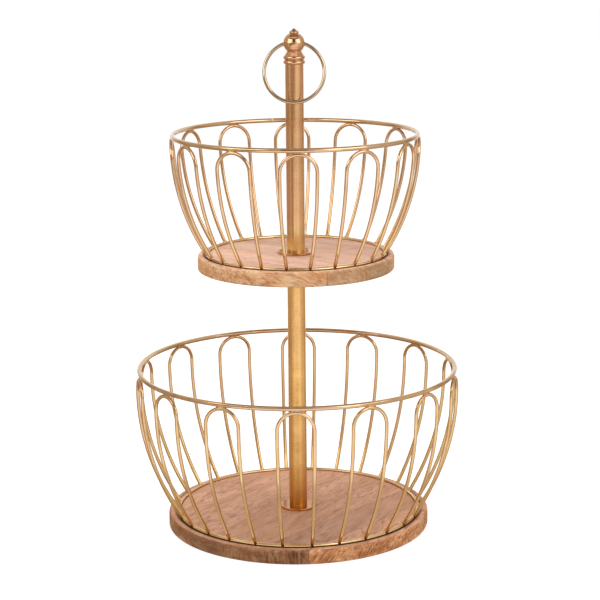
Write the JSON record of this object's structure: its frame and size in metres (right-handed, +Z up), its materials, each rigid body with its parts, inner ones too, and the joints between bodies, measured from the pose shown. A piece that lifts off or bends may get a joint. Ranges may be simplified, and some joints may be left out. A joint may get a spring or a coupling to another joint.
{
  "type": "tiered wire basket",
  "caption": "Tiered basket of bent gold wire hoops on round wooden boards, stacked on a tube post with a turned finial and a swinging carry ring.",
  "frame": {"origin": "centre of the lower board's underside, which is the bottom centre of the whole", "axes": "+Z up along the post, -Y the front, where the carry ring hangs, +X to the right seen from the front"},
  "size_m": [0.3052, 0.3054, 0.473],
  "materials": {
    "wire_gold": "semi-gloss gold finish on steel wire",
    "post_gold": "satin gold finish on steel",
    "lower_wood": "oiled, edge-glued staves",
    "upper_wood": "oiled, edge-glued staves",
    "zinc_steel": "zinc plated"
  },
  "bodies": {
    "basket": {"base_screw": "zinc_steel", "base_washer": "zinc_steel", "finial": "post_gold", "joining_stud": "zinc_steel", "lower_board_stave_1": "lower_wood", "lower_board_stave_2": "lower_wood", "lower_board_stave_3": "lower_wood", "lower_board_stave_4": "lower_wood", "lower_board_stave_5": "lower_wood", "lower_board_stave_6": "lower_wood", "lower_board_stave_7": "lower_wood", "lower_flange": "post_gold", "lower_foot_ring": "wire_gold", "lower_hoop_01": "wire_gold", "lower_hoop_02": "wire_gold", "lower_hoop_03": "wire_gold", "lower_hoop_04": "wire_gold", "lower_hoop_05": "wire_gold", "lower_hoop_06": "wire_gold", "lower_hoop_07": "wire_gold", "lower_hoop_08": "wire_gold", "lower_hoop_09": "wire_gold", "lower_hoop_10": "wire_gold", "lower_hoop_11": "wire_gold", "lower_hoop_12": "wire_gold", "lower_hoop_13": "wire_gold", "lower_hoop_14": "wire_gold", "lower_rim": "wire_gold", "lower_tube": "post_gold", "lower_tube_foot_plug": "zinc_steel", "lower_tube_head_plug": "zinc_steel", "upper_board_stave_1": "upper_wood", "upper_board_stave_2": "upper_wood", "upper_board_stave_3": "upper_wood", "upper_board_stave_4": "upper_wood", "upper_board_stave_5": "upper_wood", "upper_flange": "post_gold", "upper_foot_ring": "wire_gold", "upper_hoop_01": "wire_gold", "upper_hoop_02": "wire_gold", "upper_hoop_03": "wire_gold", "upper_hoop_04": "wire_gold", "upper_hoop_05": "wire_gold", "upper_hoop_06": "wire_gold", "upper_hoop_07": "wire_gold", "upper_hoop_08": "wire_gold", "upper_hoop_09": "wire_gold", "upper_hoop_10": "wire_gold", "upper_hoop_11": "wire_gold", "upper_hoop_12": "wire_gold", "upper_rim": "wire_gold", "upper_tube": "post_gold", "upper_tube_foot_plug": "zinc_steel", "upper_tube_head_plug": "zinc_steel"},
    "ring": {"carry_ring": "wire_gold"}
  },
  "joints": [
    {"name": "ring_swing", "type": "hinge", "parent": "basket", "child": "ring", "pos_m": [0, 0, 0.45957], "axis": [-1, 0, 0], "range_deg": [0, 337.55]}
  ]
}
